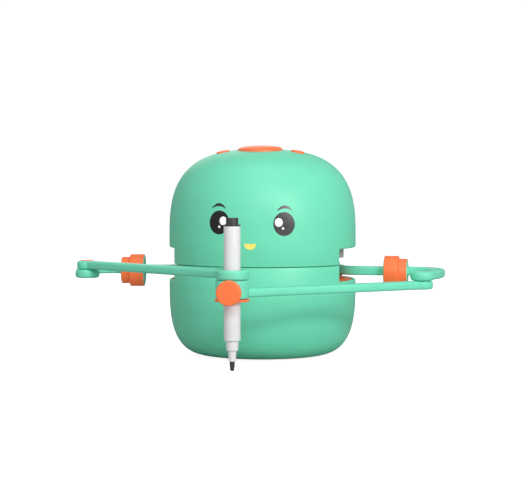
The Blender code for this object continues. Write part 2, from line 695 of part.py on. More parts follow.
def make_moving_parts():
    make_lift_carriage()
    make_lift_screw()
    make_power_button()
    make_power_switch()
    for side, word in ((-1, "left"), (1, "right")):
        make_side_button(side, f"{word}_top_button")
        make_drive_shaft(side, f"{word}_drive_shaft")
        make_stub(side, f"{word}_stub_arm")
        make_collar(side, f"{word}_collar")
        make_outer_arm(side, f"{word}_outer_arm")
        make_elbow_pin(side, f"{word}_elbow_pin")
        make_elbow_cap(side, f"{word}_elbow_cap")
    make_left_forearm()
    make_right_forearm()
    make_pen_sleeve()
    make_clamp_knob()
    make_pen()


clear_scene()
make_body()
make_moving_parts()
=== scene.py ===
"""Looks for the round desktop drawing robot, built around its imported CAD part."""

import json
import math

import bmesh
import bpy
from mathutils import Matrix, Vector

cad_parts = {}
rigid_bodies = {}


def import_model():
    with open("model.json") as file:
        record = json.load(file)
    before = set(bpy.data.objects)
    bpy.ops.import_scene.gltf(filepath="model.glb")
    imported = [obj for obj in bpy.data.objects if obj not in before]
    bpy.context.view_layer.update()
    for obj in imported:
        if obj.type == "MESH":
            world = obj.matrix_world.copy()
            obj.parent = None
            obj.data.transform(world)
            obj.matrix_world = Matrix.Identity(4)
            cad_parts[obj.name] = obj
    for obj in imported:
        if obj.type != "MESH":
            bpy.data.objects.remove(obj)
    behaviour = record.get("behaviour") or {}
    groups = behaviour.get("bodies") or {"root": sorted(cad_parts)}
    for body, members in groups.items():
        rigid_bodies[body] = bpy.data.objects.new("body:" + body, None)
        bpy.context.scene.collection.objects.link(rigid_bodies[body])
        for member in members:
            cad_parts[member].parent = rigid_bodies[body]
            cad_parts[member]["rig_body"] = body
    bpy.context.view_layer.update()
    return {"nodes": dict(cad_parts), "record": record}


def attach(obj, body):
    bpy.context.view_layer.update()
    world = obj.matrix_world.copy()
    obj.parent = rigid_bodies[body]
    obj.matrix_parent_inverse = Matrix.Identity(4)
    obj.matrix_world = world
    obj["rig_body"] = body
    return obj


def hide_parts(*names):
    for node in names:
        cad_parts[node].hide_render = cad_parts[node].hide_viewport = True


MM = 0.001
RAISE = Vector((0, 0, 2.0))  # heights are counted from 2 mm above the table, as in the part
TINY = 1e-6

# Fineness, in steps
FINE = 144  # round the shells
ROUND = 96  # round the collars, rings, pen and knob
PLAIN = 64  # round the rest
SLOT_COLUMNS = 26
CORNER_STEPS = 5
PATH_STEPS = 6
OVAL_STEPS = 20
MARK_STEPS = 24
SMOOTH_ANGLE = 32.0  # in degrees; sharper edges stay hard

# Shells, in millimetres. Every length here is, unless a comment says otherwise.
BODY_R = 70.0
WALL = 2.4
BASE_FLAT_R = 38.0
BASE_UNDER_Z = -1.6
BASE_CORNER_Z = 50.0
BASE_POWER = 2.85
SEAM_LOW_Z = 66.8
SEAM_HIGH_Z = 67.4
SEAM_EDGE = 0.35
SEAM_SOFT = 0.1
COVER_R = 37.7
COVER_HOLE_R = 32.8
COVER_SEAT_Z = 0.8
FLOOR_Z = 3.2
LEDGE_R = 65.0
LEDGE_Z = (47.7, 50.5)
LIP_R = (65.4, 67.3)
LIP_Z = (58.3, 60.5, 70.0)
DOME_Z = 86.0
DOME_H = 66.0
DOME_POWER = 2.9
SLOT_FROM = 61.6  # in degrees from the face
SLOT_TO = 140.0
SLOT_LOW_Z = 55.0
SLOT_HIGH_Z = 78.8
SLOT_CORNER = 1.2
SLOT_RIM = 1.3
SLOT_REACH = (60.0, 76.0)
SLOT_FLARE = 6.0
REAR_HOLE_Z = 30.0
INLET_HALF = (5.3, 2.2)
SWITCH_X = -21.3
SWITCH_HALF = (5.7, 2.6)
GRILLE_ROWS = 5
GRILLE_LOW_Z = 102.9
GRILLE_PITCH = 4.6
GRILLE_HALF = (13.0, 0.9)

# Buttons
BUTTON_Y = -13.0
POWER_R = 16.5
POWER_HOLE_R = 16.8
POWER_FLANGE_R = 18.2
SIDE_BUTTON_X = 28.0
SIDE_BUTTON_R = 5.0
SIDE_HOLE_R = 5.3
SIDE_FLANGE_R = 6.4

# Arms and pen
SHOULDER = (52.0, 21.3)
ELBOW = (122.4, -51.9)
PEN = (0.0, -148.8)
ARM_WIDTH = 10.0
HOOK_WIDTH = 9.74
ARM_LOW_Z = 57.8
ARM_TOP_Z = 64.4
ARM_EDGE = 2.0
STUB_EDGE = 1.6
HUB_R = 8.0
ELBOW_R = 8.8
FOREARM_END_R = 7.5
STUB_PATH = (SHOULDER, (58.0, 13.0), (65.0, 8.3), (75.0, 6.1), (93.0, 4.9))
HOOK_PATH = ((101.0, 4.4), (111.8, 3.6), (120.0, 1.4), (127.1, -3.4), (131.4, -11.0),
             (132.3, -22.0), (129.3, -37.0), ELBOW)
REACH_SHARE = 0.945  # how much of the way from elbow to pen the forearm's bar goes
REACH_PARTS = 8
COLLAR = (100.1, 4.6, 60.2)
COLLAR_TILT = {-1: 6.0, 1: 1.0}  # in degrees, for the left and the right
COLLAR_HALF = 8.4
COLLAR_R = 12.3
COLLAR_TIP_R = 10.15
LEFT_FOREARM_Z = (64.3, 70.3)
RIGHT_FOREARM_Z = (51.7, 57.7)
RING_R = 11.2
RING_BORE = 8.6
LEFT_RING_Z = (63.8, 70.4)
RIGHT_HUB_Z = (51.1, 63.5)
PIN_R = 2.2
CAP_R = 5.0
LEFT_CAP_Z = (68.7, 70.7)
RIGHT_CAP_Z = (51.75, 53.3)
SLEEVE_R = 7.2
SLEEVE_BORE = 5.8
PEN_R = 5.6
PEN_TIP_Z = 2.45
BARREL_Z = (22.85, 99.55)
SCREW_HOLE_R = 2.1
KNOB_R = 8.35
KNOB_Z = 55.8

# Face, with sides and turns in degrees round the head
EYE_SIDE = 19.6
EYE_Z = 98.7
EYE_HALF = (7.9, 8.5)
BROW_SIDE = 20.3
BROW_Z = 108.6
MOUTH_Z = 84.1
FACE_LEAN = 0.5
BROW_LEAN = 0.75
FACE_TURN = 1.0
FILM = 0.08
GLINT_FILM = 0.136

# Camera, with angles in degrees and the lens for a 36 mm sensor
CAMERA_AT = (177.5, -1287.8, 142.7)
CAMERA_PITCH = 2.752
CAMERA_YAW = 7.80
CAMERA_LENS = 117.9
SENSOR = 36.0

# Light. Places and sizes are in metres, and a light's row is its name, place, watts and width.
WHITE = (1, 1, 1, 1)
AMBIENT = 0.37
BACKDROP = 1.05
FLOOR_HALF = 3.0
FLOOR_GLOW = 0.9
LIGHT_TARGET = (0, 0, 0.08)
STUDIO_LIGHTS = (("key", (1.0, -1.3, 0.78), 8.6, 0.25), ("high", (0.3, -1.6, 1.2), 4.7, 0.4),
                 ("middle", (0.1, -1.7, 0.9), 2.6, 0.35), ("side", (1.3, -1.2, 0.55), 5.2, 0.4),
                 ("left", (-1.2, -1.2, 0.9), 1.5, 0.9), ("top", (0.1, -0.3, 1.8), 4.6, 0.9),
                 ("back", (-0.5, 1.6, 0.8), 2.5, 0.9))


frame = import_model()


# Materials

def shader_of(name):
    material = bpy.data.materials.new(name)
    material.use_nodes = True
    return material, material.node_tree.nodes, material.node_tree.links


def noise_field(nodes, links, scale, detail=3.0, stretch=(1, 1, 1)):
    place = nodes.new("ShaderNodeTexCoord")
    spread = nodes.new("ShaderNodeMapping")
    spread.inputs["Scale"].default_value = stretch
    links.new(place.outputs["Object"], spread.inputs["Vector"])
    noise = nodes.new("ShaderNodeTexNoise")
    noise.inputs["Scale"].default_value = scale
    noise.inputs["Detail"].default_value = detail
    links.new(spread.outputs["Vector"], noise.inputs["Vector"])
    return noise


def ramp_of(nodes, links, source, low, high):
    ramp = nodes.new("ShaderNodeValToRGB")
    for element, position, colour in zip(ramp.color_ramp.elements, (0.35, 0.65), (low, high)):
        element.position = position
        element.color = colour
    links.new(source, ramp.inputs["Fac"])
    return ramp


def grey(value):
    return (value, value, value, 1.0)


def plastic(name, colour, roughness, spread, grain=0.02, coat=0.0, glow=0.0):
    """Moulded plastic: slight colour and gloss mottling over a fine grain. Its glow is painted light: the
    colour also shines as emission, so the piece looks more brightly lit than the lamps make it.
    """
    material, nodes, links = shader_of(name)
    shader = nodes["Principled BSDF"]
    mottle = noise_field(nodes, links, 55.0)
    low = tuple(c * (1 - spread) for c in colour) + (1.0,)
    high = tuple(min(1.0, c * (1 + spread)) for c in colour) + (1.0,)
    tint = ramp_of(nodes, links, mottle.outputs["Fac"], low, high)
    links.new(tint.outputs["Color"], shader.inputs["Base Color"])
    gloss = ramp_of(nodes, links, mottle.outputs["Fac"], grey(roughness - 0.03), grey(roughness + 0.04))
    links.new(gloss.outputs["Color"], shader.inputs["Roughness"])
    fine = noise_field(nodes, links, 2600.0, 2.0)
    bump = nodes.new("ShaderNodeBump")
    bump.inputs["Strength"].default_value = grain
    bump.inputs["Distance"].default_value = 0.00005
    links.new(fine.outputs["Fac"], bump.inputs["Height"])
    links.new(bump.outputs["Normal"], shader.inputs["Normal"])
    shader.inputs["Coat Weight"].default_value = coat
    # painted light: with glow above 0 the tint shines as emission, brightening the piece beyond what the
    # lamps give
    links.new(tint.outputs["Color"], shader.inputs["Emission Color"])
    shader.inputs["Emission Strength"].default_value = glow
    return material


def metal(name, colour, roughness):
    """Turned or drawn metal with fine streaks."""
    material, nodes, links = shader_of(name)
    shader = nodes["Principled BSDF"]
    shader.inputs["Metallic"].default_value = 1.0
    streak = noise_field(nodes, links, 300.0, stretch=(1, 1, 12))
    low = tuple(c * 0.85 for c in colour) + (1.0,)
    tint = ramp_of(nodes, links, streak.outputs["Fac"], low, tuple(colour) + (1.0,))
    links.new(tint.outputs["Color"], shader.inputs["Base Color"])
    gloss = ramp_of(nodes, links, streak.outputs["Fac"], grey(roughness), grey(roughness + 0.12))
    links.new(gloss.outputs["Color"], shader.inputs["Roughness"])
    return material


GREEN = (0.175, 0.790, 0.520)
ORANGE = (0.96, 0.180, 0.048)
MATERIALS = {
    "shell_green": plastic("shell_green", GREEN, 0.45, 0.012),
    "arm_green": plastic("arm_green", (0.185, 0.80, 0.545), 0.42, 0.015),
    # the orange's glow is painted light: the orange parts shine a little, as if lit more brightly
    "orange": plastic("orange", ORANGE, 0.40, 0.02, glow=0.14),
    "light_grey": plastic("light_grey", (0.55, 0.55, 0.57), 0.5, 0.03),
    "dark_grey": plastic("dark_grey", (0.045, 0.045, 0.047), 0.4, 0.1),
    "white": plastic("white", (0.86, 0.86, 0.865), 0.3, 0.01),
    "steel": metal("steel", (0.62, 0.62, 0.64), 0.28),
    "rubber": plastic("rubber", (0.03, 0.03, 0.03), 0.8, 0.1, 0.15),
    "board_green": plastic("board_green", (0.01, 0.12, 0.05), 0.35, 0.15),
    "cell_blue": plastic("cell_blue", (0.03, 0.09, 0.30), 0.35, 0.08),
    "motor_black": plastic("motor_black", (0.02, 0.02, 0.025), 0.5, 0.1),
}


def paint(obj, slot):
    obj.data.materials.clear()
    obj.data.materials.append(MATERIALS[slot])


# Shapes

def smooth(mesh):
    mesh.shade_smooth()
    mesh.set_sharp_from_angle(angle=math.radians(SMOOTH_ANGLE))


def make_mesh(name, points, faces):
    mesh = bpy.data.meshes.new(name)
    mesh.from_pydata([(Vector(p) + RAISE) * MM for p in points], [], faces)
    obj = bpy.data.objects.new(name, mesh)
    bpy.context.scene.collection.objects.link(obj)
    edit = bmesh.new()
    edit.from_mesh(mesh)
    bmesh.ops.recalc_face_normals(edit, faces=edit.faces)
    edit.to_mesh(mesh)
    edit.free()
    smooth(mesh)
    return obj


def turned(name, profile, steps, at=(0, 0, 0), along=(0, 0, 1)):
    """A body turned about an axis, from a closed outline of (radius, height)."""
    tilt = Vector((0, 0, 1)).rotation_difference(Vector(along)).to_matrix()
    on_axis = profile[0][0] < TINY
    flat_start = on_axis and profile[0][1] == profile[1][1]
    flat_end = profile[-1][0] < TINY and profile[-1][1] == profile[-2][1]
    profile = profile[int(flat_start):len(profile) - int(flat_end)]
    points, rings, faces = [], [], []
    for radius, height in profile:
        ring = []
        for step in range(1 if radius < TINY else steps):
            angle = 2 * math.pi * step / steps
            spoke = Vector((radius * math.cos(angle), radius * math.sin(angle), height))
            ring.append(len(points))
            points.append(tilt @ spoke + Vector(at))
        rings.append(ring)
    if flat_start:
        faces.append(tuple(rings[0]))
    if flat_end:
        faces.append(tuple(rings[-1]))
    for index in range(len(rings) - 1 if on_axis else len(rings)):
        low, high = rings[index], rings[(index + 1) % len(rings)]
        for step in range(steps):
            after = (step + 1) % steps
            if len(low) == 1:
                faces.append((low[0], high[after], high[step]))
            elif len(high) == 1:
                faces.append((low[step], low[after], high[0]))
            else:
                faces.append((low[step], low[after], high[after], high[step]))
    return make_mesh(name, points, faces)


def rounded(profile, radius, segments=4):
    """The outline with its corners turned into arcs. radius has one length for each point."""
    made = []
    count = len(profile)
    for index, (point, length) in enumerate(zip(profile, radius)):
        here = Vector(point)
        if length <= 0:
            made.append(tuple(here))
            continue
        before = Vector(profile[(index - 1) % count]) - here
        after = Vector(profile[(index + 1) % count]) - here
        start = here + before.normalized() * length
        end = here + after.normalized() * length
        for step in range(segments + 1):
            t = step / segments
            made.append(tuple(start.lerp(here, t).lerp(here.lerp(end, t), t)))
    return made


def super_arc(flat_r, wall_r, flat_z, wall_z, power, first, last, count):
    """Points on a rounded corner, from angle first to last in degrees. 0 is the wall and 90 the flat."""
    points = []
    for step in range(count + 1):
        t = math.radians(first + (last - first) * step / count)
        radius = flat_r + (wall_r - flat_r) * max(math.cos(t), 0) ** (2 / power)
        height = wall_z + (flat_z - wall_z) * max(math.sin(t), 0) ** (2 / power)
        points.append((radius, height))
    return points


def dome_height(radius):
    """Height of the head's outer surface at a distance from the middle."""
    share = 1 - (radius / BODY_R) ** DOME_POWER
    return DOME_Z + DOME_H * share ** (1 / DOME_POWER)


def dome_seat(x, y, reach):
    """Middle and outward direction of the flat that best fits the head's outer surface round a button."""
    left, right = (dome_height(math.hypot(x + way * reach, y)) for way in (-1, 1))
    front, back = (dome_height(math.hypot(x, y + way * reach)) for way in (-1, 1))
    middle = Vector((x, y, (left + right + front + back) / 4))
    return middle, Vector((left - right, front - back, 2 * reach)).normalized()


def head_radius(height):
    """Radius of the head's outer surface at a height."""
    share = 1 - (max(height - DOME_Z, 0.0) / DOME_H) ** DOME_POWER
    return BODY_R * share ** (1 / DOME_POWER)


def disc(name, x, y, radius, low, high, edge=0.0, steps=PLAIN):
    outline = [(0, low), (radius, low), (radius, high), (0, high)]
    return turned(name, rounded(outline, (0, edge, edge, 0)), steps, (x, y, 0))


def smooth_path(points):
    """A smooth curve through the points, in plan."""
    ends = [Vector(points[0]) * 2 - Vector(points[1])] + [Vector(p) for p in points]
    ends.append(Vector(points[-1]) * 2 - Vector(points[-2]))
    path = []
    for index in range(1, len(ends) - 2):
        a, b, c, d = ends[index - 1:index + 3]
        for step in range(PATH_STEPS):
            t = step / PATH_STEPS
            path.append(0.5 * (2 * b + (c - a) * t + (2 * a - 5 * b + 4 * c - d) * t * t
                               + (3 * b - a - 3 * c + d) * t ** 3))
    return path + [Vector(points[-1])]


def bar(name, path, width, low, high, edge, arc=6):
    """A flat bar with rounded long edges that follows a path in plan."""
    section = []
    for side, height, start in ((1, low, 270), (1, high, 0), (-1, high, 90), (-1, low, 180)):
        centre_z = height + edge if height == low else height - edge
        for step in range(arc + 1):
            turn = math.radians(start + 90 * step / arc)
            across = side * (width / 2 - edge) + edge * math.cos(turn)
            section.append((across, centre_z + edge * math.sin(turn)))
    points = []
    for index, spot in enumerate(path):
        ahead = (path[min(index + 1, len(path) - 1)] - path[max(index - 1, 0)]).normalized()
        across = Vector((ahead.y, -ahead.x))
        for offset, height in section:
            points.append((spot.x + across.x * offset, spot.y + across.y * offset, height))
    count = len(section)
    faces = [tuple(range(count)), tuple(range(len(points) - count, len(points)))]
    for index in range(len(path) - 1):
        for step in range(count):
            after = (step + 1) % count
            here, there = index * count, (index + 1) * count
            faces.append((here + step, here + after, there + after, there + step))
    return make_mesh(name, points, faces)


def combine(target, other, operation):
    change = target.modifiers.new("combine", "BOOLEAN")
    change.operation = operation
    change.solver = "EXACT"
    change.object = other
    result = target.evaluated_get(bpy.context.evaluated_depsgraph_get())
    made = bpy.data.meshes.new_from_object(result)
    old = target.data
    target.modifiers.clear()
    target.data = made
    bpy.data.meshes.remove(old)
    bpy.data.objects.remove(other, do_unlink=True)
    smooth(made)


def join(target, other):
    combine(target, other, "UNION")


def cut(target, other):
    combine(target, other, "DIFFERENCE")


def stand_for(obj, node, slot):
    """Paints a finer piece and puts it in place of its CAD node."""
    paint(obj, slot)
    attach(obj, frame["nodes"][node]["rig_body"])
    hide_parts(node)


# Shells

def slot_outline(grow):
    """One slot's edge as columns of (degrees from the face, low height, high height), grown all round."""
    corner = SLOT_CORNER + grow
    low, high = SLOT_LOW_Z - grow, SLOT_HIGH_Z + grow
    first = SLOT_FROM - math.degrees(grow / BODY_R)
    last = SLOT_TO + math.degrees(grow / BODY_R)
    turn = math.degrees(corner / BODY_R)
    arc = []
    for step in range(CORNER_STEPS + 1):
        t = math.radians(90 * step / CORNER_STEPS)
        arc.append((turn * (1 - math.cos(t)), corner * (1 - math.sin(t))))
    columns = [(first + ahead, low + inset, high - inset) for ahead, inset in arc]
    for step in range(1, SLOT_COLUMNS):
        columns.append((first + turn + (last - first - 2 * turn) * step / SLOT_COLUMNS, low, high))
    columns += [(last - ahead, low + inset, high - inset) for ahead, inset in reversed(arc)]
    return columns


def slot_cutter(side):
    """A wedge that opens one arm slot. It flares near the outer surface, which rounds the slot's rim."""
    layers = [(SLOT_REACH[0], 0.0)]
    for step in range(CORNER_STEPS + 1):
        t = math.radians(90 * step / CORNER_STEPS)
        layers.append((BODY_R - SLOT_RIM + SLOT_RIM * math.sin(t), SLOT_RIM * (1 - math.cos(t))))
    layers.append((SLOT_REACH[1], SLOT_RIM + SLOT_FLARE))
    points = []
    for radius, grow in layers:
        for azimuth, low, high in slot_outline(grow):
            angle = math.radians(azimuth)
            for height in (low, high):
                points.append((side * radius * math.sin(angle), -radius * math.cos(angle), height))
    across = len(slot_outline(0.0))
    faces = []
    for layer in range(len(layers)):
        start = layer * across * 2
        for column in range(across - 1):
            here = start + column * 2
            if layer in (0, len(layers) - 1):
                faces.append((here, here + 2, here + 3, here + 1))
            if layer < len(layers) - 1:
                there = here + across * 2
                faces.append((here, here + 2, there + 2, there))
                faces.append((here + 1, here + 3, there + 3, there + 1))
        if layer < len(layers) - 1:
            for here in (start, start + across * 2 - 2):
                faces.append((here, here + 1, here + 1 + across * 2, here + across * 2))
    return make_mesh("slot_cutter", points, faces)


def rounded_slot(name, x, z, half_width, half_height, corner, near, far):
    """A slot with rounded corners that runs straight through along Y."""
    outline = []
    for across, up, start in ((1, -1, -90), (1, 1, 0), (-1, 1, 90), (-1, -1, 180)):
        for step in range(CORNER_STEPS + 1):
            t = math.radians(start + 90 * step / CORNER_STEPS)
            outline.append((x + across * (half_width - corner) + corner * math.cos(t),
                            z + up * (half_height - corner) + corner * math.sin(t)))
    count = len(outline)
    points = [(px, near, pz) for px, pz in outline] + [(px, far, pz) for px, pz in outline]
    faces = [tuple(range(count)), tuple(range(count, 2 * count))]
    for step in range(count):
        after = (step + 1) % count
        faces.append((step, after, count + after, count + step))
    return make_mesh(name, points, faces)


def make_base():
    outer = [(BODY_R - SEAM_EDGE, SEAM_LOW_Z), (BODY_R - SEAM_SOFT, SEAM_LOW_Z - SEAM_SOFT),
             (BODY_R, SEAM_LOW_Z - SEAM_EDGE)]
    outer += super_arc(BASE_FLAT_R, BODY_R, BASE_UNDER_Z, BASE_CORNER_Z, BASE_POWER, 0, 90, 36)
    floor = [(COVER_R, BASE_UNDER_Z), (COVER_R, COVER_SEAT_Z), (COVER_HOLE_R, COVER_SEAT_Z),
             (COVER_HOLE_R, FLOOR_Z)]
    inner = super_arc(BASE_FLAT_R, BODY_R - WALL, FLOOR_Z, BASE_CORNER_Z, BASE_POWER, 90, 18, 8)
    ledge = [(LEDGE_R, LEDGE_Z[0]), (LEDGE_R, LEDGE_Z[1]), (BODY_R - WALL, LEDGE_Z[1])]
    lip = [(BODY_R - WALL, LIP_Z[0]), (LIP_R[0], LIP_Z[1]), (LIP_R[0], LIP_Z[2]), (LIP_R[1], LIP_Z[2]),
           (LIP_R[1], SEAM_LOW_Z)]
    base = turned("base", outer + floor + inner + ledge + lip, FINE)
    for side in (-1, 1):
        cut(base, slot_cutter(side))
    cut(base, rounded_slot("inlet_hole", 0, REAR_HOLE_Z, *INLET_HALF, 2.1, 62, 72))
    cut(base, rounded_slot("switch_hole", SWITCH_X, REAR_HOLE_Z, *SWITCH_HALF, 0.8, 56, 72))
    stand_for(base, "base_shell", "shell_green")


def make_head():
    outer = super_arc(0, BODY_R, DOME_Z + DOME_H, DOME_Z, DOME_POWER, 90, 0, 44)
    rim = [(BODY_R, SEAM_HIGH_Z + SEAM_EDGE), (BODY_R - SEAM_SOFT, SEAM_HIGH_Z + SEAM_SOFT),
           (BODY_R - SEAM_EDGE, SEAM_HIGH_Z), (BODY_R - WALL, SEAM_HIGH_Z)]
    inner = super_arc(0, BODY_R - WALL, DOME_Z + DOME_H - WALL, DOME_Z, DOME_POWER, 0, 90, 16)
    head = turned("head", outer + rim + inner, FINE)
    for x, radius in ((0.0, POWER_HOLE_R), (-SIDE_BUTTON_X, SIDE_HOLE_R), (SIDE_BUTTON_X, SIDE_HOLE_R)):
        spot, way = dome_seat(x, BUTTON_Y, radius)
        hole = [(0, -9), (radius, -9), (radius, -0.4), (radius + 0.12, -0.1), (radius + 0.4, 0.15),
                (radius + 0.4, 4), (0, 4)]
        cut(head, turned("button_hole", hole, ROUND, spot, way))
    for side in (-1, 1):
        cut(head, slot_cutter(side))
    for row in range(GRILLE_ROWS):
        row_z = GRILLE_LOW_Z + GRILLE_PITCH * row
        cut(head, rounded_slot("grille_slot", 0, row_z, *GRILLE_HALF, 0.85, 50, 75))
    stand_for(head, "head_shell", "shell_green")


def make_buttons():
    spot, way = dome_seat(0, BUTTON_Y, POWER_R)
    flange = [(0, -4.4), (POWER_FLANGE_R, -4.4), (POWER_FLANGE_R, -3.4), (POWER_R, -3.4)]
    crown = [(POWER_R, 0.7), (16.4, 1.05), (16.1, 1.4), (15.7, 1.7), (15.1, 2.0), (14.0, 2.35),
             (12.5, 2.65), (10.3, 2.95), (8.0, 3.18), (5.0, 3.36), (2.5, 3.47), (0, 3.52)]
    stand_for(turned("power_cap", flange + crown, 128, spot, way), "power_button", "orange")
    flange = [(0, -5.1), (SIDE_FLANGE_R, -5.1), (SIDE_FLANGE_R, -4.2), (SIDE_BUTTON_R, -4.2)]
    crown = [(SIDE_BUTTON_R, 0.4), (4.9, 0.7), (4.6, 0.95), (4.0, 1.1), (2.4, 1.25), (0, 1.3)]
    for side, word in ((-1, "left"), (1, "right")):
        spot, way = dome_seat(side * SIDE_BUTTON_X, BUTTON_Y, SIDE_BUTTON_R)
        stand_for(turned(f"{word}_cap", flange + crown, PLAIN, spot, way), f"{word}_top_button", "orange")


# Arms

def mirror_path(points, side):
    return smooth_path([(side * x, y) for x, y in points])


def collar_turned(name, side, profile):
    """A body turned about one arm's collar axis. Heights run outwards from the collar's middle."""
    tilt = math.radians(COLLAR_TILT[side])
    along = (side * math.cos(tilt), -math.sin(tilt), 0)
    return turned(name, profile, ROUND, (side * COLLAR[0], COLLAR[1], COLLAR[2]), along)


def hexagon(name, x, y, corner_r, low, high):
    return turned(name, [(0, low), (corner_r, low), (corner_r, high), (0, high)], 6, (x, y, 0))


def make_stub(side, word):
    x, y = side * SHOULDER[0], SHOULDER[1]
    stub = bar(f"{word}_stub", mirror_path(STUB_PATH, side), ARM_WIDTH, ARM_LOW_Z, ARM_TOP_Z, STUB_EDGE, 4)
    join(stub, disc("hub", x, y, HUB_R, ARM_LOW_Z - 0.05, ARM_TOP_Z + 0.05, 0.8))
    cut(stub, hexagon("hex_bore", x, y, 3.3, ARM_LOW_Z - 2, ARM_TOP_Z + 2))
    plug = rounded([(0, -8.85), (11.3, -8.85), (11.3, -1.0), (0, -1.0)], (0, 0.6, 0, 0))
    join(stub, collar_turned("plug", side, plug))
    stand_for(stub, f"{word}_stub_arm", "arm_green")


def make_collar(side, word):
    half = COLLAR_HALF
    outline = [(COLLAR_R - 0.4, -half), (COLLAR_R, -half), (COLLAR_R, 1.9), (COLLAR_TIP_R, 2.8),
               (COLLAR_TIP_R, half), (9.6, half), (9.6, -0.6), (11.45, -0.6), (11.45, -half)]
    collar = collar_turned(f"{word}_grip", side, rounded(outline, (0, 0.35, 0.6, 0.3, 0.35, 0, 0, 0, 0)))
    stand_for(collar, f"{word}_collar", "orange")


def make_outer_arm(side, word):
    x, y = side * ELBOW[0], ELBOW[1]
    low = ARM_LOW_Z if side < 0 else ARM_LOW_Z + 0.2
    high = ARM_TOP_Z - 0.4 if side < 0 else ARM_TOP_Z
    arm = bar(f"{word}_hook", mirror_path(HOOK_PATH, side), HOOK_WIDTH, low, high, ARM_EDGE)
    join(arm, disc("boss", x, y, ELBOW_R, low - 0.05, high + 0.05, 2.4, ROUND))
    plug = rounded([(0, -0.3), (9.45, -0.3), (9.45, 8.85), (0, 8.85)], (0, 0, 0.6, 0))
    join(arm, collar_turned("plug", side, plug))
    cut(arm, disc("pin_hole", x, y, PIN_R + 0.02, low - 2, high + 2))
    stand_for(arm, f"{word}_outer_arm", "arm_green")


def forearm_bar(side, name, low, high):
    x, y = side * ELBOW[0], ELBOW[1]
    start, end = Vector((x, y)), Vector(PEN)
    path = [start.lerp(end, part / REACH_PARTS * REACH_SHARE) for part in range(REACH_PARTS + 1)]
    arm = bar(name, path, ARM_WIDTH, low, high, ARM_EDGE)
    join(arm, disc("elbow_end", x, y, FOREARM_END_R, low - 0.04, high + 0.04, 2.2, ROUND))
    return arm


def screw_way(near, far):
    """A round hole for the clamp screw, from near to far in front of the pen's axis."""
    outline = [(0, near), (SCREW_HOLE_R, near), (SCREW_HOLE_R, far), (0, far)]
    return turned("screw_way", outline, 24, (*PEN, KNOB_Z), (0, -1, 0))


def make_left_forearm():
    low, high = LEFT_FOREARM_Z
    arm = forearm_bar(-1, "left_reach", low, high)
    join(arm, disc("ring", *PEN, RING_R, *LEFT_RING_Z, 1.6, ROUND))
    bore = [(0, low - 3), (RING_BORE, low - 3), (RING_BORE, high - 0.7), (RING_BORE + 0.7, high + 0.05),
            (RING_BORE + 0.7, high + 3), (0, high + 3)]
    cut(arm, turned("ring_bore", bore, ROUND, (*PEN, 0)))
    cut(arm, disc("pin_hole", -ELBOW[0], ELBOW[1], PIN_R + 0.06, low - 2, high + 2))
    cut(arm, disc("cap_seat", -ELBOW[0], ELBOW[1], CAP_R + 0.1, 68.6, high + 2))
    stand_for(arm, "left_forearm", "arm_green")


def make_right_forearm():
    low, high = RIGHT_FOREARM_Z
    arm = forearm_bar(1, "right_reach", low, high)
    join(arm, disc("hub", *PEN, RING_R, *RIGHT_HUB_Z, 1.3, ROUND))
    cut(arm, disc("hub_bore", *PEN, SLEEVE_R + 0.1, low - 3, RIGHT_HUB_Z[1] + 3, steps=ROUND))
    cut(arm, disc("pin_hole", ELBOW[0], ELBOW[1], PIN_R + 0.06, low - 2, high + 2))
    cut(arm, disc("cap_seat", ELBOW[0], ELBOW[1], CAP_R + 0.1, low - 2, 53.4))
    cut(arm, screw_way(6.5, 20.0))
    stand_for(arm, "right_forearm", "arm_green")


def make_elbow_caps():
    for side, word, (low, high) in ((-1, "left", LEFT_CAP_Z), (1, "right", RIGHT_CAP_Z)):
        outline = [(0, low), (CAP_R, low), (CAP_R, high), (0, high)]
        edges = (0, 0, 0.5, 0) if side < 0 else (0, 0.4, 0, 0)
        spot = (side * ELBOW[0], ELBOW[1], 0)
        cap = turned(f"{word}_elbow_button", rounded(outline, edges), PLAIN, spot)
        stand_for(cap, f"{word}_elbow_cap", "orange")


# Pen and its holder

def make_sleeve():
    outline = [(SLEEVE_BORE, 49.2), (11.8, 49.2), (11.8, 50.8), (SLEEVE_R, 50.8), (SLEEVE_R, 68.9),
               (SLEEVE_BORE, 68.9)]
    sleeve = turned("sleeve", rounded(outline, (0.3, 0.7, 0.7, 0, 0.4, 0)), ROUND, (*PEN, 0))
    cut(sleeve, screw_way(2, 9))
    stand_for(sleeve, "pen_sleeve", "orange")


def make_knob():
    outline = [(0, 5.75), (1.8, 5.75), (1.8, 12.4), (KNOB_R, 12.4), (KNOB_R, 17.4), (0, 17.5)]
    profile = rounded(outline, (0, 0.4, 0, 0.6, 1.2, 0), 6)
    stand_for(turned("knob", profile, ROUND, (*PEN, KNOB_Z), (0, -1, 0)), "clamp_knob", "orange")


def make_pen_piece(name, slot, outline, radius):
    piece = turned(name, rounded(outline, radius), ROUND, (*PEN, 0))
    stand_for(piece, f"pen_{name}", slot)


def make_pen():
    low, high = BARREL_Z
    tip = PEN_TIP_Z
    barrel = [(0, low), (PEN_R, low), (PEN_R, high), (0, high)]
    make_pen_piece("barrel", "white", barrel, (0, 0.5, 0.25, 0))
    plug = [(0, high + 0.02), (PEN_R, high + 0.02), (PEN_R, high + 1.1), (4.15, high + 1.1),
            (4.15, high + 5.6), (0, high + 5.6)]
    make_pen_piece("plug", "dark_grey", plug, (0, 0, 0.25, 0.1, 0.4, 0))
    nose = [(0, tip + 6.5), (2.4, tip + 6.5), (2.85, tip + 13.6), (4.05, tip + 13.9), (4.3, low - 0.02),
            (0, low - 0.02)]
    make_pen_piece("nose", "white", nose, (0, 0.35, 0.3, 0.35, 0.2, 0))
    nib = [(0, tip), (1.15, tip), (1.75, tip + 3.4), (1.75, tip + 6.48), (0, tip + 6.48)]
    make_pen_piece("nib", "dark_grey", nib, (0, 0.9, 1.2, 0, 0))


# Face

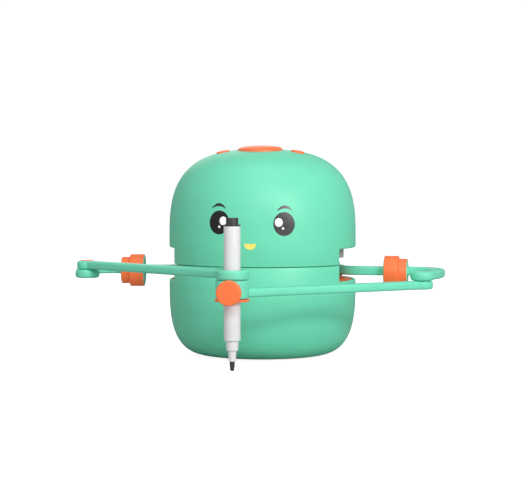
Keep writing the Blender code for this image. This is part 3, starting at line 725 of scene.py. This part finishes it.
def film(name, grid, azimuth, middle_z, lift, material):
    """A printed mark on the head. grid holds rows of (across, up) from the mark's middle."""
    points = []
    for layer in (lift, -0.4):
        for row in grid:
            for across, up in row:
                angle = math.radians(azimuth) + across / BODY_R
                radius = head_radius(middle_z + up) + layer
                points.append((radius * math.sin(angle), -radius * math.cos(angle), middle_z + up))
    rows, columns = len(grid), len(grid[0])
    half = rows * columns
    faces = []
    for i in range(rows - 1):
        for j in range(columns - 1):
            here = i * columns + j
            quad = (here, here + 1, here + columns + 1, here + columns)
            faces.append(quad)
            faces.append(tuple(half + k for k in reversed(quad)))
    edge = list(range(columns))
    edge += [i * columns + columns - 1 for i in range(1, rows)]
    edge += [(rows - 1) * columns + j for j in range(columns - 2, -1, -1)]
    edge += [i * columns for i in range(rows - 2, 0, -1)]
    for here, there in zip(edge, edge[1:] + edge[:1]):
        faces.append((here, there, half + there, half + here))
    mark = make_mesh(name, points, faces)
    mark.data.materials.append(material)
    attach(mark, "body")


def oval(half_width, half_height, centre=(0.0, 0.0)):
    """An oval as a square grid that is pulled out to its edge."""
    grid = []
    for i in range(OVAL_STEPS + 1):
        v = -1 + 2 * i / OVAL_STEPS
        row = []
        for j in range(OVAL_STEPS + 1):
            u = -1 + 2 * j / OVAL_STEPS
            across = u * math.sqrt(1 - v * v / 2)
            up = v * math.sqrt(1 - u * u / 2)
            row.append((centre[0] + half_width * across, centre[1] + half_height * up))
        grid.append(row)
    return grid


def crescent(half_width, rise, thickness):
    """An arched stroke that thins towards its ends."""
    grid = []
    for share in (0, 0.33, 0.67, 1):
        row = []
        for j in range(MARK_STEPS + 1):
            s = -1 + 2 * j / MARK_STEPS
            thick = thickness * (1 - 0.8 * s * s)
            row.append((half_width * s, rise * (1 - s * s) + thick * (share - 0.5)))
        grid.append(row)
    return grid


def half_moon(half_width, drop):
    """A half disc with its flat side up."""
    grid = []
    for share in (0, 0.25, 0.5, 0.75, 1):
        row = []
        for j in range(MARK_STEPS + 1):
            s = math.sin(math.radians(-90 + 180 * j / MARK_STEPS))
            row.append((half_width * s, -share * max(drop * math.sqrt(1 - s * s), 0.1 * drop)))
        grid.append(row)
    return grid


def make_face():
    ink = plastic("face_ink", (0.006, 0.006, 0.006), 0.29, 0.15, coat=0.2)
    # the right eye's ink is paler than the left's: a painted sheen that stands for a reflection on that
    # eye
    ink_with_painted_sheen = plastic("ink_with_painted_sheen", (0.062, 0.061, 0.062), 0.29, 0.15, coat=0.2)
    # the printed white marks glow a little: painted light that keeps them bright where the lamps leave
    # them in shade
    glint = plastic("face_white", (0.93, 0.94, 0.94), 0.35, 0.01, glow=0.3)
    # the printed yellow mouth glows a little: painted light that brightens it beyond what the lamps give
    yellow = plastic("face_yellow", (0.98, 0.81, 0.16), 0.4, 0.02, glow=0.15)
    for side, word in ((-1, "left"), (1, "right")):
        azimuth = side * EYE_SIDE + FACE_TURN
        eye_z = EYE_Z - side * FACE_LEAN
        # the right eye takes the paler ink, which paints its sheen; the left takes the plain ink
        eye_ink = ink if side < 0 else ink_with_painted_sheen
        film(f"{word}_eye", oval(*EYE_HALF), azimuth, eye_z, FILM, eye_ink)
        large = oval(2.85, 3.05, (-side * 3.6 - 0.35, 1.2))
        film(f"{word}_glint", large, azimuth, eye_z, GLINT_FILM, glint)
        small = oval(0.85, 0.85, (-side * 0.55 - 0.3, -3.1))
        film(f"{word}_spark", small, azimuth, eye_z, GLINT_FILM, glint)
        brow_turn = side * BROW_SIDE + FACE_TURN
        brow_z = BROW_Z - side * BROW_LEAN
        film(f"{word}_brow", crescent(5.7, 2.6, 2.15), brow_turn, brow_z, FILM, ink)
    film("mouth", half_moon(4.3, 4.2), FACE_TURN / 2, MOUTH_Z, FILM, yellow)


# Stage

def aim_camera():
    data = bpy.data.cameras.new("camera")
    data.lens = CAMERA_LENS
    data.sensor_width = SENSOR
    data.clip_end = 20.0
    camera = bpy.data.objects.new("camera", data)
    camera.location = Vector(CAMERA_AT) * MM
    camera.rotation_euler = (math.radians(90 - CAMERA_PITCH), 0, math.radians(CAMERA_YAW))
    bpy.context.scene.collection.objects.link(camera)
    bpy.context.scene.camera = camera


def area_light(name, spot, power, size):
    data = bpy.data.lights.new(name, "AREA")
    data.shape = "DISK"
    data.size = size
    data.energy = power
    light = bpy.data.objects.new(name, data)
    light.location = spot
    light.rotation_euler = (Vector(LIGHT_TARGET) - Vector(spot)).to_track_quat("-Z", "Y").to_euler()
    bpy.context.scene.collection.objects.link(light)


def set_world():
    """Even white light. The camera sees it brighter, so that the background is pure white."""
    world = bpy.data.worlds.new("studio")
    world.use_nodes = True
    nodes, links = world.node_tree.nodes, world.node_tree.links
    soft = nodes["Background"]
    soft.inputs["Color"].default_value = WHITE
    soft.inputs["Strength"].default_value = AMBIENT
    bright = nodes.new("ShaderNodeBackground")
    bright.inputs["Color"].default_value = WHITE
    bright.inputs["Strength"].default_value = BACKDROP
    rays = nodes.new("ShaderNodeLightPath")
    mix = nodes.new("ShaderNodeMixShader")
    links.new(rays.outputs["Is Camera Ray"], mix.inputs["Fac"])
    links.new(soft.outputs["Background"], mix.inputs[1])
    links.new(bright.outputs["Background"], mix.inputs[2])
    links.new(mix.outputs["Shader"], nodes["World Output"].inputs["Surface"])
    bpy.context.scene.world = world


def make_floor():
    """A pale floor that the camera sees as white, with soft shade under the robot."""
    half = FLOOR_HALF
    corners = [(-half, -half, 0), (half, -half, 0), (half, half, 0), (-half, half, 0)]
    mesh = bpy.data.meshes.new("floor")
    mesh.from_pydata(corners, [], [(0, 1, 2, 3)])
    floor = bpy.data.objects.new("floor", mesh)
    bpy.context.scene.collection.objects.link(floor)
    material, nodes, links = shader_of("floor")
    shader = nodes["Principled BSDF"]
    shader.inputs["Base Color"].default_value = (0.5, 0.5, 0.5, 1)
    shader.inputs["Roughness"].default_value = 0.9
    shader.inputs["Specular IOR Level"].default_value = 0.1
    shader.inputs["Emission Color"].default_value = WHITE
    rays = nodes.new("ShaderNodeLightPath")
    glow = nodes.new("ShaderNodeMath")
    glow.operation = "MULTIPLY"
    glow.inputs[1].default_value = FLOOR_GLOW
    links.new(rays.outputs["Is Camera Ray"], glow.inputs[0])
    links.new(glow.outputs["Value"], shader.inputs["Emission Strength"])
    mesh.materials.append(material)


def set_stage():
    bpy.context.scene.view_settings.view_transform = "Standard"
    aim_camera()
    set_world()
    for name, spot, power, size in STUDIO_LIGHTS:
        area_light(name, spot, power, size)
    make_floor()


def paint_frame():
    slots = {row["node"]: row["material_slot"] for row in frame["record"]["subparts"]}
    for name, node in frame["nodes"].items():
        paint(node, slots[name])
        smooth(node.data)


def make_pieces():
    make_base()
    make_head()
    make_buttons()
    for side, word in ((-1, "left"), (1, "right")):
        make_stub(side, word)
        make_collar(side, word)
        make_outer_arm(side, word)
    make_left_forearm()
    make_right_forearm()
    make_elbow_caps()
    make_sleeve()
    make_knob()
    make_pen()
    make_face()


paint_frame()
make_pieces()
set_stage()
